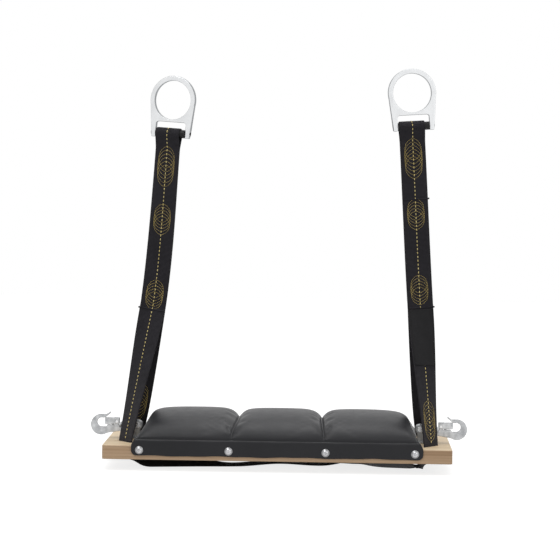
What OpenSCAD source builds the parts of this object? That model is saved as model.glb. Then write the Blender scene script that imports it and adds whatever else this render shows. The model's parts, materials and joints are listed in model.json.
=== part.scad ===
// Bosun's chair: a padded plywood seat hung from two webbing hangers with D-rings,
// with a snap hook for tools at each end. X runs along the board, -Y is the front, Z is up.

/* [Board] */
// How far the board reaches past each end of the pad
board_end = 50; // [46:0.5:70]
// Depth of the board, front to back
board_d = 250; // [240:1:320]
// Thickness of the plywood
board_t = 24; // [20:1:32]
// Corner radius of the board, seen from above
board_corner_r = 5; // [2:0.5:15]

/* [Webbing] */
// Width of the webbing
web_w = 45; // [36:0.5:48]
// Thickness of one ply of webbing
web_t = 2.6; // [2:0.1:3.2]
// How far the slack straps hang below the board
strap_hang = 19; // [17:0.5:30]
// Tilt of the slack straps' lobes, outer edge down
strap_tilt = 17; // [0:1:18]
// Height of the lower strap above the ground where the straps cross
lower_strap_rise = 4; // [2:0.5:5]
// Vertical gap between the two straps where they cross
strap_cross_gap = 3; // [2:0.5:5]

/* [Slots] */
// Distance of each front slot's centre from the end of the board
slot_end = 34; // [28:0.5:38]
// Distance of each slot's centre from the middle of the board, along Y
slot_y = 57; // [54:0.5:70]
// How much nearer to the middle the two rear slots are
rear_slot_in = 6; // [0:0.5:8]
// Angle of each slot from the front-to-back direction
slot_angle = 33; // [10:1:38]
// How much longer a slot is than the webbing is wide
slot_play = 7; // [4:0.5:12]
// How much wider a slot is than the webbing is thick
slot_room = 2.4; // [1.5:0.1:5]

/* [Pad] */
// Length of the pad, left to right
pad_w = 500; // [460:1:504]
// Height of the pad's steep sides
pad_side_h = 30; // [18:0.5:35]
// How far the crown rises above the sides
pad_crown_h = 26; // [10:0.5:35]
// How far in from the pad's ends the crown starts
pad_crown_inset = 2; // [0:0.5:30]
// How far the left end is drawn in at half depth, where its strap leans over it
left_pad_draw = 24; // [20:0.5:30]
// How far the right end is drawn in at half depth
right_pad_draw = 18; // [12:0.5:24]
// Distance of the left sewn channel from the middle
left_channel_x = 69; // [60:1:100]
// Distance of the right sewn channel from the middle
right_channel_x = 75; // [60:1:100]
// Depth of the sewn channels
channel_depth = 14; // [4:0.5:18]
// Half width of the sewn channels
channel_r = 9; // [5:0.5:16]
// Thickness of the cover
cover_t = 1.6; // [1:0.1:2.5]

/* [Flaps and screws] */
// How far the flaps reach down the board's long edges
flap_h = 17; // [15:0.5:19]
// Corner radius at the flaps' lower ends
flap_corner_r = 9; // [4:0.5:14]
// Distance of the outer screws from the pad's ends
screw_end = 14; // [10:0.5:25]
// Distance of the inner screws from the middle
screw_mid_x = 83; // [60:0.5:110]
// Depth of the screws below the board's top
screw_drop = 7.5; // [7:0.1:10]
// Diameter of the screws' shanks
screw_d = 4.2; // [3:0.1:5]
// Length of the screws' shanks in the board
screw_l = 28; // [15:1:40]
// Diameter of the screws' heads
screw_head_d = 9.6; // [8:0.1:11]
// Diameter of the cup washers
washer_d = 14; // [13:0.1:14.5]
// Height of the cup washers
washer_h = 2.2; // [1.5:0.1:3]

/* [Hangers] */
// Height above the board where the two legs of a hanger meet
split_h = 237; // [190:1:250]
// Left hanger: how far inside the slots that point is
left_split_in = 43; // [26:1:60]
// Left hanger: how far inside the slots the ring's pin is
left_bar_in = 70; // [41:1:86]
// Left hanger: height of the ring's pin above the board
left_bar_h = 536; // [480:1:620]
// Left hanger: lean of its top towards the right
left_lean = 3.7; // [-6:0.1:6]
// Left hanger: turn of its top about its own length
left_turn = -20; // [-30:1:30]
// Right hanger: how far inside the slots the point where its legs meet is
right_split_in = 21; // [10:1:36]
// Right hanger: how far inside the slots the ring's pin is
right_bar_in = 38; // [16:1:61]
// Right hanger: height of the ring's pin above the board
right_bar_h = 554; // [480:1:620]
// Right hanger: lean of its top towards the right
right_lean = -3.8; // [-6:0.1:6]
// Right hanger: turn of its top about its own length
right_turn = 9; // [-30:1:30]
// Distance from the ring's pin to where the loop's plies close up
loop_neck = 26; // [22:0.5:34]
// How far the webbing sits to the left of the rings' middle
web_shift = 3.5; // [0:0.1:4]
// Length of the patch sewn on the right hanger
label_l = 100; // [60:1:110]
// Thickness of that patch
label_t = 0.8; // [0.5:0.1:1.5]

/* [Rings] */
// Diameter of a ring's eye
eye_d = 68; // [55:0.5:72]
// Width of the rim round the eye
rim_w = 8.4; // [6:0.1:10]
// Distance from the ring's pin to the middle of its eye
eye_rise = 58; // [55:0.5:70]
// Room between a ring's legs
ring_gap = 56; // [55:0.5:62]
// Height of the top of that gap above the pin
ring_gap_h = 19.5; // [17:0.5:21]
// Corner radius at the top of that gap
ring_gap_r = 4; // [2:0.5:6]
// Width of a ring's legs at the pin
ring_leg_w = 8; // [6:0.5:12]
// How far the legs reach below the pin
ring_foot = 7.6; // [6.5:0.1:10]
// Thickness of the ring plate
ring_t = 7; // [6:0.1:9]
// Diameter of the ring's cross pin
ring_pin_d = 5; // [4:0.1:5.4]
// Outer diameter of the sleeve on the pin
sleeve_d = 14.4; // [12:0.1:16]

/* [Hooks] */
// How far a hook's bracket pin is inside the line of the pad's ends
hook_in = 2; // [-2:0.5:3]
// Height of the hook's axis above the board
hook_h = 24; // [22.5:0.1:28]
// Thickness of the hook's body
hook_t = 8.4; // [7:0.1:9]
// Radius of the outside of the hook's bowl
bowl_r = 17.8; // [16:0.1:18.5]
// Distance from the bracket pin to the middle of the bowl
bowl_x = 64; // [62:0.5:70]
// Radius of the hook's mouth
mouth_r = 8; // [7:0.1:9]
// Height of the mouth's middle above the hook's axis
mouth_rise = 4; // [3:0.1:5.5]
// Outer radius of the swivel eye
hook_eye_r = 9.5; // [8:0.1:10.5]
// Radius of the swivel stud
stud_r = 3.2; // [2.5:0.1:4]
// Outer radius of the hook's swivel collar
collar_r = 6.4; // [5.5:0.1:7]
// Diameter of the bracket's pin
hook_pin_d = 7; // [5:0.1:8]
// Thickness of the bracket's base and ears
bracket_t = 3; // [2:0.1:4]
// Height of the gate's folded sides
gate_h = 11; // [9:0.1:11.5]
// Thickness of the gate's sheet
gate_t = 1.2; // [0.8:0.1:1.6]
// Diameter of the gate's rivet
rivet_d = 3; // [2:0.1:3.5]

/* [Hidden] */
$fn = 64;

// Running clearance of a pin in its hole, and gap between solids that lie against each other
running = 0.05;
seat_gap = 0.3;
// How far a cutting shape runs past what it cuts
past = 1;

board_bottom = strap_hang;
board_top = board_bottom + board_t;
flap_t = cover_t + 0.4;
pad_half_w = pad_w / 2;
pad_half_d = board_d / 2 + flap_t;
pad_h = pad_side_h + pad_crown_h;
board_w = pad_w + 2 * board_end;
slot_x = board_w / 2 - slot_end;
screw_end_x = pad_half_w - screw_end;
hook_x = pad_half_w - hook_in;
LEFT = -1;
RIGHT = 1;
FRONT = -1;
REAR = 1;

vinyl_colour = [0.14, 0.14, 0.15];
web_colour = [0.08, 0.08, 0.09];
wood_colour = [0.84, 0.72, 0.54];
zinc_colour = [0.72, 0.73, 0.74];
alloy_colour = [0.88, 0.89, 0.9];
sleeve_colour = [0.1, 0.1, 0.1];
foam_colour = [0.85, 0.83, 0.7];

function unit(v) = v / norm(v);
function ease(t) = t <= 0 ? 0 : t >= 1 ? 1 : t * t * (3 - 2 * t);
function mix(a, b, t) = a + (b - a) * t;
// A point at t along the cubic from p to q that leaves along u and arrives along v
function cubic(p, u, q, v, t) =
    (2 * t ^ 3 - 3 * t ^ 2 + 1) * p + (t ^ 3 - 2 * t ^ 2 + t) * u
    + (3 * t ^ 2 - 2 * t ^ 3) * q + (t ^ 3 - t ^ 2) * v;

// Stations of a ribbon: each is [middle, across, outward], made from its middles and rough acrosses
function tangent(path, i) = unit(path[min(i + 1, len(path) - 1)] - path[max(i - 1, 0)]);
function station(p, along, across) =
    let (w = unit(across - (across * along) * along)) [p, w, cross(along, w)];
function stations(path, acrosses) =
    [for (i = [0:len(path) - 1]) station(path[i], tangent(path, i), acrosses[i])];

// A flat strap of width w and thickness t through stations, lifted off them by lift
module ribbon(at, w, t, lift = 0) {
    count = len(at);
    corners = [[-1, -1], [1, -1], [1, 1], [-1, 1]];
    points = [for (s = at) for (c = corners) s[0] + c[0] * w / 2 * s[1] + (c[1] * t / 2 + lift) * s[2]];
    // the two broad faces are split along the same diagonal, so that a twist keeps its thickness
    sides = [for (i = [0:count - 2]) for (k = [0:3])
        let (a = 4 * i + k, b = 4 * i + (k + 1) % 4)
        each k == 2 ? [[a, a + 4, b + 4], [a, b + 4, b]] : [[a, a + 4, b], [b, a + 4, b + 4]]];
    last = 4 * (count - 1);
    ends = [[0, 1, 2], [0, 2, 3], [last, last + 2, last + 1], [last, last + 3, last + 2]];
    polyhedron(points = points, faces = concat(sides, ends), convexity = 6);
}

module at_side(side) {
    mirror([side == LEFT ? 1 : 0, 0, 0]) children();
}

// Plywood board with its strap slots and pilot holes

slot_w = web_t + slot_room;
slot_l = web_w + slot_play;
// Middle of a slot, and the direction across the webbing in it
function slot_place(side, end) = [side * (slot_x - (end == REAR ? rear_slot_in : 0)), end * slot_y, 0];
function slot_across(side, end) =
    [sin(slot_angle), -side * end * cos(slot_angle), 0];

module slot_cut() {
    span = slot_l - slot_w;
    translate([-slot_w / 2, -span / 2, 0]) square([slot_w, span]);
    for (s = [-1, 1]) translate([0, s * span / 2]) circle(d = slot_w);
}

module board_outline() {
    x = board_w / 2 - board_corner_r;
    y = board_d / 2 - board_corner_r;
    square([2 * x, board_d], center = true);
    square([board_w, 2 * y], center = true);
    for (sx = [-1, 1]) for (sy = [-1, 1]) translate([sx * x, sy * y]) circle(r = board_corner_r);
}

module seat_board() {
    color(wood_colour) difference() {
        translate([0, 0, board_bottom]) linear_extrude(board_t) difference() {
            board_outline();
            for (side = [LEFT, RIGHT]) for (end = [FRONT, REAR])
                translate(slot_place(side, end)) rotate(side * end * slot_angle) slot_cut();
        }
        for (end = [FRONT, REAR]) edge_screw_places(end)
            translate([0, 0, -screw_l - flap_t - past])
                cylinder(d = screw_d + 2 * running, h = screw_l + 2 * past);
        for (side = [LEFT, RIGHT]) bracket_screw_places(side)
            translate([0, 0, -bracket_screw_l])
                cylinder(d = bracket_screw_d + 2 * running, h = bracket_screw_l + past);
    }
}

// Pad: one height rule for the cover and for the foam in it

pad_steps_x = 12;
pad_steps_y = 14;
side_power = 12;
crown_power = 22;

function spread(low, high, steps) =
    [for (i = [0:steps]) (low + high) / 2 - (high - low) / 2 * cos(180 * i / steps)];
function joined(a, b) = concat(a, [for (i = [1:len(b) - 1]) b[i]]);
pad_xs = joined(joined(spread(-pad_half_w, -left_channel_x, pad_steps_x),
    spread(-left_channel_x, right_channel_x, pad_steps_x)), spread(right_channel_x, pad_half_w, pad_steps_x));
pad_ys = spread(-pad_half_d, pad_half_d, pad_steps_y);

function steep(t) = sqrt(max(0, 1 - abs(t) ^ side_power));
function channel(x) = exp(-((abs(x - (x < 0 ? -left_channel_x : right_channel_x)) / channel_r) ^ 1.3));
function pad_height(x, y) =
    let (u = y / pad_half_d, side = steep(x / pad_half_w) * steep(u))
    let (crown = max(0, 1 - abs(x / (pad_half_w - pad_crown_inset)) ^ crown_power) * (1 - u * u))
    pad_side_h * side + pad_crown_h * crown - channel_depth * channel(x) * side * (0.45 + 0.55 * crown);
// End of the pad on one side at depth y, drawn in between the corners
function pad_end(side, y) =
    side * (pad_half_w - (side == LEFT ? left_pad_draw : right_pad_draw) * (1 - (y / pad_half_d) ^ 2));
// Outline of heights over a row of places, let down by drop at its ends
function profile(row, heights, drop) = concat(
    [for (i = [0:len(row) - 1]) [row[i], heights[i]]],
    drop > 0 ? [[row[len(row) - 1], -drop], [row[0], -drop]] : []);

// Pad where its front, side and plan outlines meet, shrunk by inset towards the middle of the board's top
module pad_solid(inset, drop = 0) {
    w = 1 - inset / pad_half_w;
    d = 1 - inset / pad_half_d;
    h = 1 - inset / pad_h;
    front = profile(pad_xs * w, [for (x = pad_xs) pad_height(x, 0) * h], drop);
    side = profile(pad_ys * d, [for (y = pad_ys) pad_height(0, y) * h], drop);
    plan = concat([for (y = pad_ys) [pad_end(RIGHT, y) * w, y * d]],
        [for (y = pad_ys) [pad_end(LEFT, y) * w, -y * d]]);
    translate([0, 0, board_top]) intersection() {
        rotate([90, 0, 0]) linear_extrude(2 * (pad_half_d + past), center = true) polygon(front);
        rotate([90, 0, 90]) linear_extrude(2 * (pad_half_w + past), center = true) polygon(side);
        translate([0, 0, -2 * past]) linear_extrude(pad_h + 3 * past) polygon(plan);
    }
}

module pad_cover() {
    color(vinyl_colour) difference() {
        pad_solid(0);
        pad_solid(cover_t, past);
    }
}

module seat_foam() {
    color(foam_colour) pad_solid(cover_t + seat_gap);
}

// Flaps of the cover, with their screws and cup washers

screw_xs = [-screw_end_x, -screw_mid_x, screw_mid_x, screw_end_x];

// Frames at the screws of one long edge, with Z out of the flap's face
module edge_screw_places(end) {
    for (x = screw_xs)
        translate([x, end * pad_half_d, board_top - screw_drop]) rotate([-end * 90, 0, 0]) children();
}

module flap_outline() {
    x = pad_half_w - flap_corner_r;
    intersection() {
        translate([-pad_half_w, -flap_h]) square([pad_w, flap_h]);
        union() {
            translate([-x, -flap_h]) square([2 * x, flap_h]);
            translate([-pad_half_w, flap_corner_r - flap_h]) square([pad_w, flap_h]);
            for (s = [-1, 1]) translate([s * x, flap_corner_r - flap_h]) circle(r = flap_corner_r);
        }
    }
}

module flap(end) {
    color(vinyl_colour) difference() {
        translate([0, end * (board_d / 2 + flap_t / 2), board_top]) rotate([90, 0, 0])
            linear_extrude(flap_t, center = true) flap_outline();
        edge_screw_places(end) translate([0, 0, -flap_t - past])
            cylinder(d = screw_d + 2 * running, h = flap_t + 2 * past);
    }
}

module front_flap() {
    flap(FRONT);
}

module rear_flap() {
    flap(REAR);
}

module cup_washer() {
    lip = 0.7;
    rotate_extrude() polygon([[screw_d / 2 + running, 0], [washer_d / 2, 0], [washer_d / 2, lip],
        [screw_head_d / 2, washer_h], [screw_d / 2 + running, washer_h]]);
}

// Pan head on z = 0 with a crossed recess, and its shank below
module pan_screw(head_d, shank_d, shank_l) {
    head_h = 0.3 * head_d;
    dome_r = head_d * 0.75;
    slot_wide = 0.13 * head_d;
    slot_long = 0.55 * head_d;
    difference() {
        intersection() {
            cylinder(d = head_d, h = head_h);
            translate([0, 0, head_h - dome_r]) sphere(r = dome_r);
        }
        for (a = [0, 90]) rotate(a)
            translate([-slot_long / 2, -slot_wide / 2, head_h / 3]) cube([slot_long, slot_wide, head_h]);
    }
    translate([0, 0, -shank_l]) cylinder(d = shank_d, h = shank_l);
}

module edge_screws(end) {
    color(zinc_colour) edge_screw_places(end) translate([0, 0, washer_h])
        pan_screw(screw_head_d, screw_d, screw_l + washer_h);
}

module front_screws() {
    edge_screws(FRONT);
}

module rear_screws() {
    edge_screws(REAR);
}

module front_washers() {
    color(zinc_colour) edge_screw_places(FRONT) cup_washer();
}

module rear_washers() {
    color(zinc_colour) edge_screw_places(REAR) cup_washer();
}

// Slack straps under the board, each up through a slot at both ends

// Distance that the webbing lies off the slot's middle, against its inner wall
riser_in = slot_w / 2 - web_t / 2 - seat_gap;
run_l = norm(slot_place(RIGHT, REAR) - slot_place(LEFT, FRONT));
bend_depth = web_t / 2 + 4;
lobe_start = 44;
turn_start = 3.5;
// The straps lie over each other for this far each way from the crossing
cross_reach = web_w / 2 * run_l / (2 * slot_y) + 6;
// Where each strap starts to turn flat and lies flat, and where it starts to rise and has risen, from the slot
lower_flat = [run_l / 2 - 165, run_l / 2 - 75];
lower_rise = [run_l / 2 - 75, run_l / 2];
upper_flat = [80, run_l / 2 - cross_reach];
upper_rise = upper_flat;
lower_mid_depth = strap_hang - web_t / 2 - lower_strap_rise;
upper_mid_depth = lower_mid_depth - web_t - strap_cross_gap;

// How far a strap has sunk below the board at r from the slot, and how far it is along a stretch
function sunk(r) = ease((r - turn_start) / (lobe_start - turn_start));
function share(r, stretch) = ease((r - stretch[0]) / (stretch[1] - stretch[0]));
function run_tilt(r, flat) = strap_tilt * sunk(r) * (1 - share(r, flat));
// Depth below the board of the middle of a strap whose outer edge is on the ground
function lobe_depth(tilt) = strap_hang - web_w / 2 * sin(tilt) - web_t / 2 * cos(tilt);
// Depth of a strap's middle below the board, at r from the slot
function run_depth(r, mid_depth, flat, rise) =
    mix(bend_depth, mix(lobe_depth(run_tilt(r, flat)), mid_depth, share(r, rise)), sunk(r));
function run_rs(flat, rise) = concat([turn_start + 1, 9, 14], [for (i = [0:6]) mix(20, lobe_start, i / 6)],
    [for (i = [0:11]) mix(flat[0], max(flat[1], rise[1]), i / 11)], rise[1] < run_l / 2 ? [run_l / 2] : []);
// One half of a strap as [distance from the slot, height], from the board's top to the crossing
function half_run(mid_depth, flat, rise) = concat(
    [[riser_in, board_top], [riser_in, board_bottom + 3], [riser_in + 0.2, board_bottom],
     [riser_in + 1, board_bottom - bend_depth / 2]],
    [for (r = run_rs(flat, rise)) [r, board_bottom - run_depth(r, mid_depth, flat, rise)]]);

// The strap that starts at the front slot of one side and ends at the rear slot of the other
module under_strap(side, mid_depth, flat, rise) {
    start = slot_place(side, FRONT);
    finish = slot_place(-side, REAR);
    along = unit(finish - start);
    in_slot = slot_across(side, FRONT);
    in_run = cross([0, 0, 1], along) * (side == LEFT ? -1 : 1);
    half = half_run(mid_depth, flat, rise);
    there = [for (p = half) start + p[0] * along + [0, 0, p[1]]];
    back = [for (i = [len(half) - 2:-1:0]) finish - half[i][0] * along + [0, 0, half[i][1]]];
    level = [for (p = half) unit(mix(in_slot, in_run, ease(p[0] / lobe_start)))];
    tilts = [for (p = half) run_tilt(p[0], flat)];
    turns = [for (i = [0:len(half) - 1]) cos(tilts[i]) * level[i] + [0, 0, side * sin(tilts[i])]];
    turns_back = [for (i = [len(half) - 2:-1:0]) cos(tilts[i]) * level[i] - [0, 0, side * sin(tilts[i])]];
    color(web_colour) ribbon(stations(concat(there, back), concat(turns, turns_back)), web_w, web_t);
}

module under_strap_a() {
    under_strap(LEFT, lower_mid_depth, lower_flat, lower_rise);
}

module under_strap_b() {
    under_strap(RIGHT, upper_mid_depth, upper_flat, upper_rise);
}

// Hangers: two legs that rise from the slots and meet in a doubled band, with a loop at the top

ply_gap = 0.2;
band_t = 2 * web_t + ply_gap;
leg_steps = 16;
// Length at a leg's top that lies flat on the other leg
leg_end = 6;
band_steps = 14;
// One hanger's sizes: [side, split x, bar x, bar height, lean, turn]
left_hanger = [LEFT, slot_x - left_split_in, slot_x - left_bar_in, left_bar_h, left_lean, left_turn];
right_hanger = [RIGHT, slot_x - right_split_in, slot_x - right_bar_in, right_bar_h, right_lean, right_turn];

function hanger_up(h) = [sin(h[4]), 0, cos(h[4])];
function hanger_bar(h) = [h[0] * h[2], 0, board_top + h[3]];
function bar_across(h) = [cos(h[5]) * cos(h[4]), sin(h[5]), -cos(h[5]) * sin(h[4])];
function split_point(h) = [h[0] * h[1], 0, board_top + split_h];
function band_top(h) = hanger_bar(h) - loop_neck * hanger_up(h) - web_shift * bar_across(h);

// Frame at a ring's pin: X along the pin, Z up the hanger
module at_bar(h) {
    translate(hanger_bar(h)) rotate([0, h[4], 0]) rotate(h[5]) children();
}

// Direction in which the band leaves the legs
function band_start(h) = let (p = split_point(h))
    unit(unit(band_top(h) - p) + unit(p - [h[0] * slot_x, 0, board_top]));
function band_stations(h) =
    let (p = split_point(h), q = band_top(h), span = norm(q - p))
    let (path = [for (i = [0:band_steps])
        cubic(p, span * band_start(h), q, span * hanger_up(h), i / band_steps)])
    let (turns = [for (i = [0:band_steps]) mix([1, 0, 0], bar_across(h), ease(i / band_steps))])
    stations(path, turns);

module band(h) {
    color(web_colour) ribbon(band_stations(h), web_w, band_t);
}

// How late a leg's twist comes: 1 is even, less is near its foot
front_twist = 1.65;
rear_twist = 0.45;

// Direction across a leg at t of its way up: in line with the slot at its foot, along X at the top
function leg_across(side, end, t) =
    let (a = (90 - slot_angle) * (1 - t ^ (end == FRONT ? front_twist : rear_twist)))
    [cos(a), -side * end * sin(a), 0];

function leg_stations(h, end) =
    let (slot = slot_place(h[0], end), foot = slot - riser_in * unit(slot) + [0, 0, board_top + seat_gap])
    let (top = split_point(h) + [0, end * (web_t + ply_gap) / 2, -seat_gap], rise = top - foot)
    let (bend = top - leg_end * unit([rise[0], 0, rise[2]]))
    let (path = concat([for (i = [0:leg_steps - 1]) mix(foot, bend, i / (leg_steps - 1))], [top]))
    let (turns = [for (i = [0:leg_steps]) leg_across(h[0], end, min(1, i / (leg_steps - 1)))])
    // the foot's end lies flat on the board, and the top lies in line with the band
    [for (i = [0:leg_steps])
        station(path[i], i == 0 ? [0, 0, 1] : i < leg_steps - 1 ? tangent(path, i) : band_start(h), turns[i])];

module leg(h, end) {
    color(web_colour) ribbon(leg_stations(h, end), web_w, web_t);
}

// Outline of the loop round the sleeve, in the plane across the pin
module loop_outline(r, half) {
    circle(r = r);
    // where the straight plies leave the round
    a = asin((r - half) / loop_neck) / 2;
    polygon([[r * cos(a), -r * sin(a)], [-r * cos(a), -r * sin(a)], [-half, -loop_neck], [half, -loop_neck]]);
}

module loop(h) {
    inner_r = sleeve_d / 2 + running;
    color(web_colour) at_bar(h) translate([-web_shift, 0, 0]) rotate([90, 0, 90])
        linear_extrude(web_w, center = true) difference() {
            loop_outline(inner_r + web_t, band_t / 2);
            circle(r = inner_r);
            intersection() {
                loop_outline(inner_r, ply_gap);
                translate([-inner_r, seat_gap - loop_neck]) square([2 * inner_r, loop_neck]);
            }
        }
}

module sleeve(h) {
    color(sleeve_colour) at_bar(h) rotate([0, 90, 0]) difference() {
        cylinder(d = sleeve_d, h = ring_gap - 2 * seat_gap, center = true);
        cylinder(d = ring_pin_d + 2 * running, h = ring_gap, center = true);
    }
}

module left_band() {
    band(left_hanger);
}

module left_front_leg() {
    leg(left_hanger, FRONT);
}

module left_rear_leg() {
    leg(left_hanger, REAR);
}

module left_loop() {
    loop(left_hanger);
}

module left_sleeve() {
    sleeve(left_hanger);
}

module right_band() {
    band(right_hanger);
}

module right_front_leg() {
    leg(right_hanger, FRONT);
}

module right_rear_leg() {
    leg(right_hanger, REAR);
}

module right_loop() {
    loop(right_hanger);
}

module right_sleeve() {
    sleeve(right_hanger);
}

// Patch on the front of the right hanger's front leg, just under the band
module right_label() {
    at = leg_stations(right_hanger, FRONT);
    first = leg_steps - round(label_l / split_h * leg_steps);
    patch = [for (i = [first:leg_steps]) at[i]];
    color(web_colour) ribbon(patch, web_w - 2, label_t, -(web_t + label_t) / 2 - seat_gap / 2);
}

// D-rings

module ring_outline() {
    outer_r = eye_d / 2 + rim_w;
    foot_x = ring_gap / 2 + ring_leg_w;
    span = ring_gap - 2 * ring_gap_r;
    difference() {
        union() {
            translate([0, eye_rise]) circle(r = outer_r);
            polygon([[-outer_r, eye_rise], [-foot_x, -ring_foot], [foot_x, -ring_foot], [outer_r, eye_rise]]);
        }
        translate([0, eye_rise]) circle(d = eye_d);
        translate([-ring_gap / 2, -ring_foot - past])
            square([ring_gap, ring_gap_h - ring_gap_r + ring_foot + past]);
        translate([-span / 2, 0]) square([span, ring_gap_h]);
        for (s = [-1, 1]) translate([s * span / 2, ring_gap_h - ring_gap_r]) circle(r = ring_gap_r);
    }
}

module ring(h) {
    color(alloy_colour) at_bar(h) difference() {
        rotate([90, 0, 0]) linear_extrude(ring_t, center = true) ring_outline();
        rotate([0, 90, 0]) cylinder(d = ring_pin_d + running, h = 2 * ring_gap, center = true);
    }
}

module ring_pin(h) {
    color(zinc_colour) at_bar(h) rotate([0, 90, 0])
        cylinder(d = ring_pin_d, h = ring_gap + 2 * ring_leg_w, center = true);
}

module left_ring() {
    ring(left_hanger);
}

module left_ring_pin() {
    ring_pin(left_hanger);
}

module right_ring() {
    ring(right_hanger);
}

module right_ring_pin() {
    ring_pin(right_hanger);
}

// Hooks: X runs out along the hook from its bracket pin, Z is up

hook_eye_t = hook_t;
ear_gap = hook_eye_t + 2 * seat_gap;
ear_r = hook_pin_d / 2 + 4.5;
base_in = 5.5;
base_out = 24;
base_half = 22;
bracket_screw_d = 3.6;
bracket_screw_l = 16;
bracket_screw_head_d = 7;
collar_from = hook_eye_r + 4.5;
collar_l = 14;
collar_to = collar_from + collar_l;
stud_head_r = stud_r + 1.5;
stud_head_l = 2.5;
gate_pivot = [collar_to + 8, 5];
gate_top = mouth_rise + mouth_r;
gate_end = bowl_x - mouth_r + 1;
gate_inner = hook_t + 2 * seat_gap;

module at_hook(side) {
    at_side(side) translate([hook_x, 0, board_top + hook_h]) children();
}

// A profile in the hook's plane, t thick
module hook_plate(t) {
    rotate([90, 0, 0]) linear_extrude(t, center = true) children();
}

module bracket_screw_places(side) {
    for (s = [-1, 1])
        at_side(side) translate([hook_x + base_out / 2 - 2, s * (base_half - 5.5), board_top]) children();
}

module hook_bracket(side) {
    rest_from = collar_from + 0.5;
    rest_top = -collar_r - 3 * seat_gap;
    color(zinc_colour) difference() {
        at_hook(side) difference() {
            union() {
                translate([-base_in, -base_half, -hook_h]) cube([base_in + base_out, 2 * base_half, bracket_t]);
                for (s = [-1, 1]) translate([0, s * (ear_gap + bracket_t) / 2, 0]) hook_plate(bracket_t) {
                    circle(r = ear_r);
                    translate([-base_in, -hook_h]) square([base_in + ear_r, hook_h]);
                }
                // rest under the hook's collar
                translate([rest_from, -collar_r / 2, -hook_h])
                    cube([base_out - rest_from, collar_r, hook_h + rest_top]);
            }
            rotate([90, 0, 0]) cylinder(d = hook_pin_d + running, h = 2 * base_half, center = true);
        }
        bracket_screw_places(side) translate([0, 0, -past])
            cylinder(d = bracket_screw_d + 2 * running, h = bracket_t + 2 * past);
    }
}

module left_hook_bracket() {
    hook_bracket(LEFT);
}

module right_hook_bracket() {
    hook_bracket(RIGHT);
}

module hook_pin(side) {
    stem = ear_gap + 2 * bracket_t;
    head_t = 1.8;
    color(zinc_colour) at_hook(side) rotate([90, 0, 0]) {
        cylinder(d = hook_pin_d, h = stem, center = true);
        for (s = [-1, 1]) translate([0, 0, s * (stem + head_t) / 2])
            cylinder(d = hook_pin_d + 3, h = head_t, center = true);
    }
}

module left_hook_pin() {
    hook_pin(LEFT);
}

module right_hook_pin() {
    hook_pin(RIGHT);
}

module bracket_screws() {
    color(zinc_colour) for (side = [LEFT, RIGHT]) bracket_screw_places(side)
        translate([0, 0, bracket_t]) pan_screw(bracket_screw_head_d, bracket_screw_d, bracket_screw_l);
}

module hook_eye(side) {
    neck_r = stud_r + 1.2;
    color(zinc_colour) at_hook(side) difference() {
        union() {
            hook_plate(hook_eye_t) circle(r = hook_eye_r);
            rotate([0, 90, 0]) {
                cylinder(r = neck_r, h = collar_from - seat_gap);
                cylinder(r = stud_r, h = collar_to + seat_gap + stud_head_l);
                translate([0, 0, collar_to + seat_gap]) cylinder(r = stud_head_r, h = stud_head_l);
            }
        }
        rotate([90, 0, 0]) cylinder(d = hook_pin_d + 2 * running, h = 2 * hook_eye_t, center = true);
    }
}

module left_hook_eye() {
    hook_eye(LEFT);
}

module right_hook_eye() {
    hook_eye(RIGHT);
}

spine_top = mouth_rise - mouth_r;
ledge_top = spine_top + 3.5;
shank_low = bowl_r - 7.2;

// Bowl, spine and flared nose, with the way in to the mouth left open
module hook_outline() {
    nib_r = 1.3;
    nib = [bowl_x - 15.5, bowl_r + 3];
    nose_root = [bowl_x - 3, bowl_r];
    head_room = stud_head_r + seat_gap;
    difference() {
        union() {
            translate([bowl_x, 0]) circle(r = bowl_r);
            polygon([[collar_from, -collar_r + 1], [base_out + 1.5, -collar_r + 1], [collar_to, -shank_low],
                [bowl_x - 14, -bowl_r + 3.8], [bowl_x, -bowl_r], [bowl_x, spine_top], [collar_from, spine_top]]);
        }
        translate([bowl_x - 1, mouth_rise]) circle(r = mouth_r);
        polygon([[collar_to, spine_top], [bowl_x - 1, spine_top], [bowl_x - 1, gate_top],
            [gate_end, gate_top + seat_gap], [gate_end - 8, bowl_r + 2], [collar_to, bowl_r + 2]]);
        translate([collar_to, -head_room]) square([stud_head_l + 2 * seat_gap, 2 * head_room]);
    }
    // nose, drawn out to a lip that leads things into the mouth
    polygon([nose_root, [bowl_x - 9, bowl_r - 0.2], nib + [-0.6, nib_r], nib - [0.9, nib_r * 0.75],
        [gate_end, gate_top + seat_gap], [bowl_x - 3, gate_top - 0.3]]);
    translate(nib) circle(r = nib_r);
    // ledge under the gate
    polygon([[collar_to + 3.5, spine_top - 1], [gate_end - 1, spine_top - 1], [gate_end - 4, ledge_top],
        [collar_to + 3.5, ledge_top]]);
    // lug that carries the gate's rivet
    translate(gate_pivot) circle(r = rivet_d / 2 + 2);
    polygon([[gate_pivot[0] - 3, spine_top - 1], [gate_pivot[0] + 4, spine_top - 1],
        [gate_pivot[0] + rivet_d / 2 + 2, gate_pivot[1]], [gate_pivot[0] - rivet_d / 2 - 2, gate_pivot[1]]]);
}

module hook_body(side) {
    color(zinc_colour) at_hook(side) difference() {
        union() {
            hook_plate(hook_t) hook_outline();
            translate([collar_from, 0, 0]) rotate([0, 90, 0]) cylinder(r = collar_r, h = collar_l);
        }
        translate([collar_from - past, 0, 0]) rotate([0, 90, 0])
            cylinder(r = stud_r + running, h = collar_l + 2 * past);
        translate([gate_pivot[0], 0, gate_pivot[1]]) rotate([90, 0, 0])
            cylinder(d = rivet_d + running, h = 2 * hook_t, center = true);
    }
}

module left_hook() {
    hook_body(LEFT);
}

module right_hook() {
    hook_body(RIGHT);
}

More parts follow.
